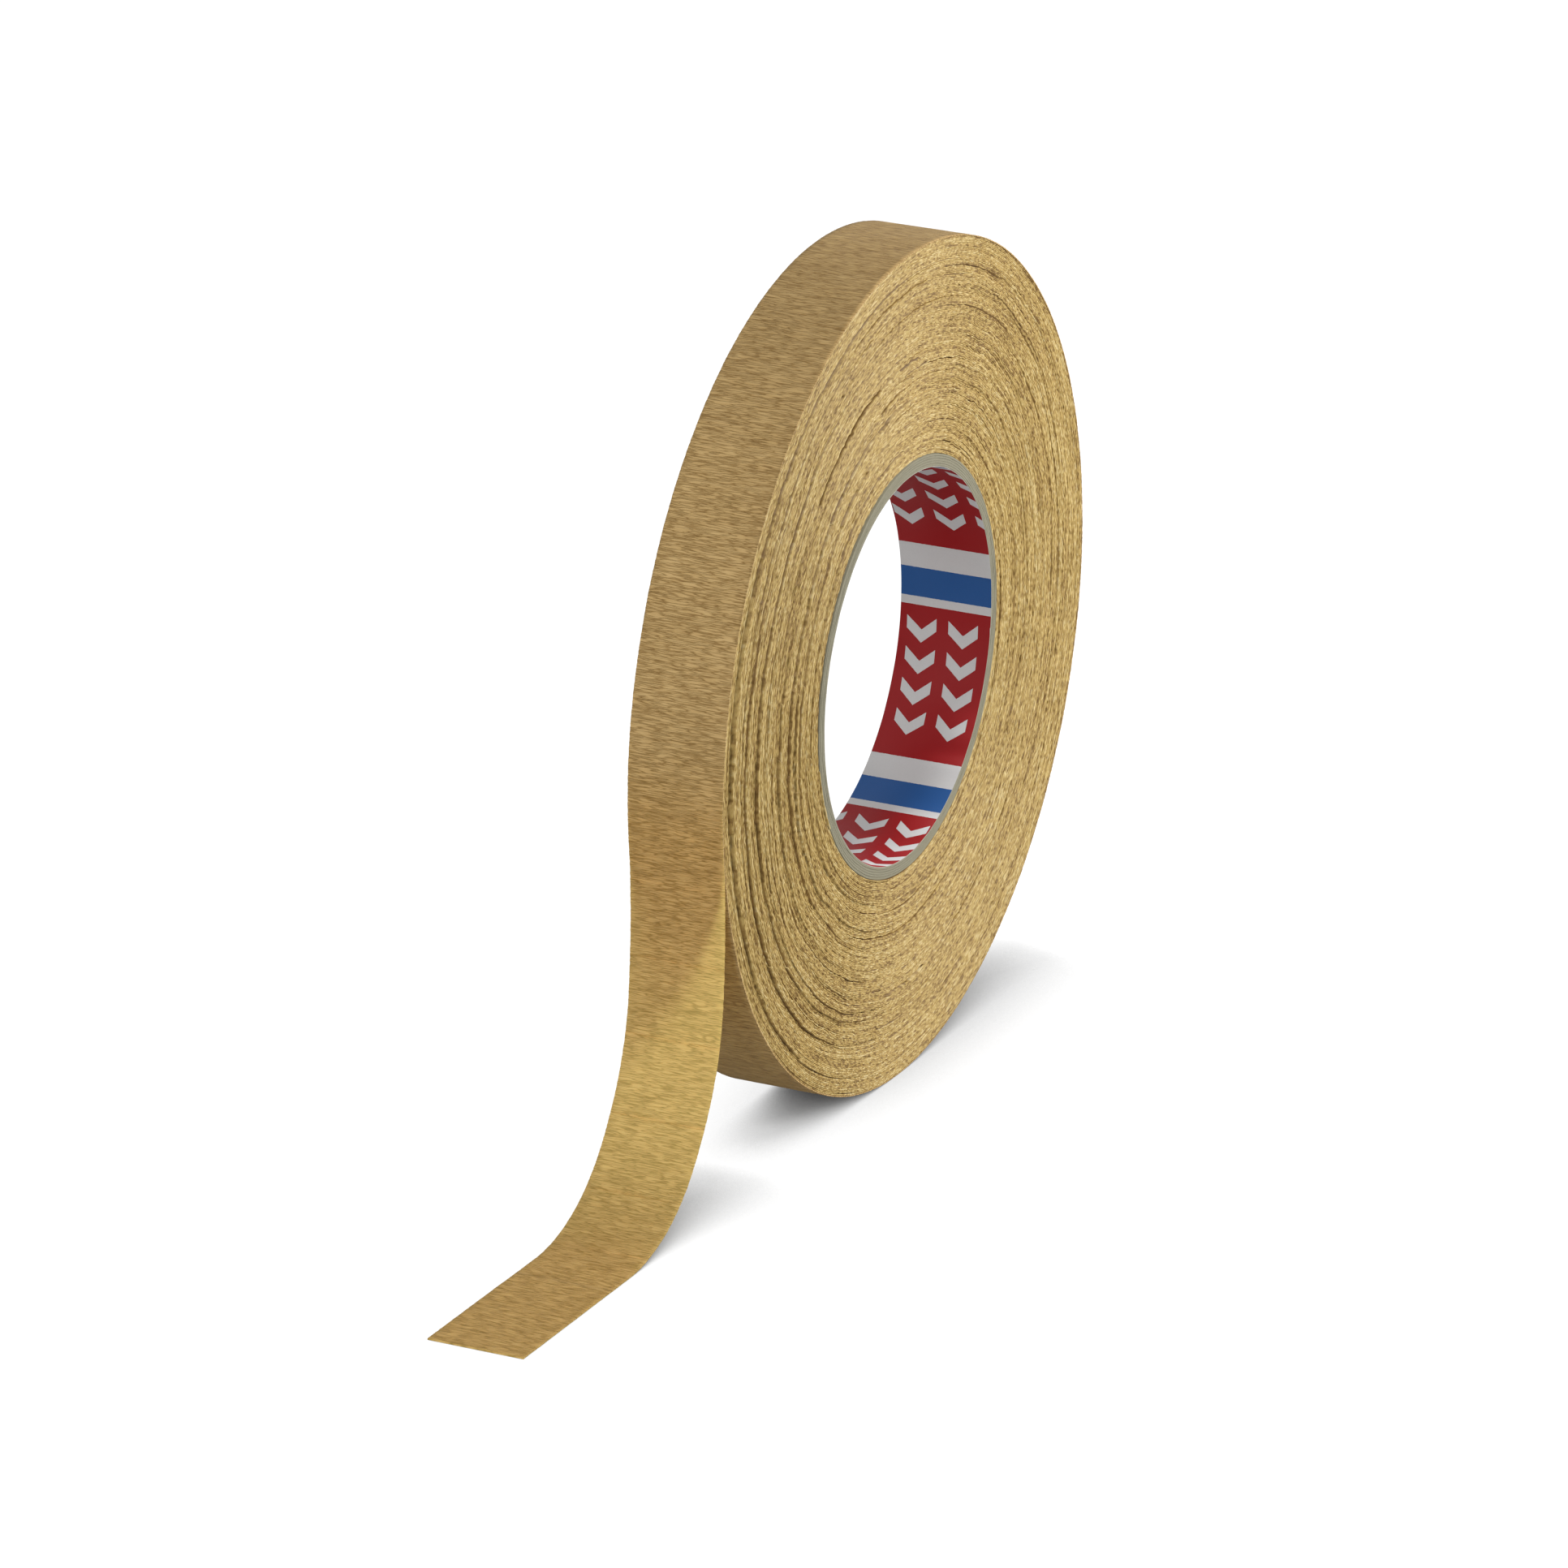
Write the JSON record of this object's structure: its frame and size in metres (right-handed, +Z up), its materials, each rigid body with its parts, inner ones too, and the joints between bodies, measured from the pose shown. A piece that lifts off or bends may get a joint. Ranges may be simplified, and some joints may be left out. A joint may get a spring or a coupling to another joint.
{
  "type": "masking tape roll",
  "caption": "Roll of narrow crepe-paper masking tape on a grey board core with a printed liner, standing on its rim with a loose tail hanging off and lying on the ground.",
  "frame": {"origin": "centre of the core's bore, half way across the tape's width", "axes": "+Y along the roll's axis, +Z up, and the tail leaves the roll on its -X side"},
  "size_m": [0.2421, 0.019, 0.1642],
  "materials": {
    "printed_liner": "satin",
    "core_board": "matte",
    "wound_edges": "matte",
    "crepe_paper": "matte",
    "adhesive": "satin"
  },
  "bodies": {
    "roll": {"core_liner": "printed_liner", "core_ply_1": "core_board", "core_ply_2": "core_board", "core_ply_3": "core_board", "core_ply_4": "core_board", "core_ply_5": "core_board", "wound_tape": "wound_edges", "outer_lap": "crepe_paper"},
    "lead": {"lead_backing": "crepe_paper", "lead_adhesive": "adhesive"},
    "tail_1": {"tail_1_backing": "crepe_paper", "tail_1_adhesive": "adhesive"},
    "tail_2": {"tail_2_backing": "crepe_paper", "tail_2_adhesive": "adhesive"},
    "tail_3": {"tail_3_backing": "crepe_paper", "tail_3_adhesive": "adhesive"},
    "tail_4": {"tail_4_backing": "crepe_paper", "tail_4_adhesive": "adhesive"},
    "tail_5": {"tail_5_backing": "crepe_paper", "tail_5_adhesive": "adhesive"},
    "tail_6": {"tail_6_backing": "crepe_paper", "tail_6_adhesive": "adhesive"},
    "tail_7": {"tail_7_backing": "crepe_paper", "tail_7_adhesive": "adhesive"}
  },
  "joints": [
    {"name": "unwind", "type": "hinge", "parent": "roll", "child": "lead", "pos_m": [0, 0, 0], "axis": [0, 1, 0], "continuous": true},
    {"name": "peel", "type": "hinge", "parent": "lead", "child": "tail_1", "pos_m": [-0.08125, 0, -0.01287], "axis": [0, 1, 0], "range_deg": [0, 90]},
    {"name": "bend_1", "type": "hinge", "parent": "tail_1", "child": "tail_2", "pos_m": [-0.07982, 0, -0.02772], "axis": [0, 1, 0], "range_deg": [-6.01, 3.01]},
    {"name": "bend_2", "type": "hinge", "parent": "tail_2", "child": "tail_3", "pos_m": [-0.07995, 0, -0.04265], "axis": [0, 1, 0], "range_deg": [-12.51, 6.26]},
    {"name": "bend_3", "type": "hinge", "parent": "tail_3", "child": "tail_4", "pos_m": [-0.08329, 0, -0.05713], "axis": [0, 1, 0], "range_deg": [-18.01, 9.01]},
    {"name": "bend_4", "type": "hinge", "parent": "tail_4", "child": "tail_5", "pos_m": [-0.09096, 0, -0.06989], "axis": [0, 1, 0], "range_deg": [-21.51, 10.76]},
    {"name": "tail_curl", "type": "hinge", "parent": "tail_5", "child": "tail_6", "pos_m": [-0.1027, 0, -0.07889], "axis": [0, 1, 0], "range_deg": [-25.5, 12.75]},
    {"name": "bend_6", "type": "hinge", "parent": "tail_6", "child": "tail_7", "pos_m": [-0.1172, 0, -0.08198], "axis": [0, 1, 0], "range_deg": [-12.01, 6.01]}
  ],
  "couplings": [
    {"joint": "bend_1", "follows": "tail_curl", "ratio": 0.23529},
    {"joint": "bend_2", "follows": "tail_curl", "ratio": 0.4902},
    {"joint": "bend_3", "follows": "tail_curl", "ratio": 0.70588},
    {"joint": "bend_4", "follows": "tail_curl", "ratio": 0.84314},
    {"joint": "bend_6", "follows": "tail_curl", "ratio": 0.47059}
  ]
}
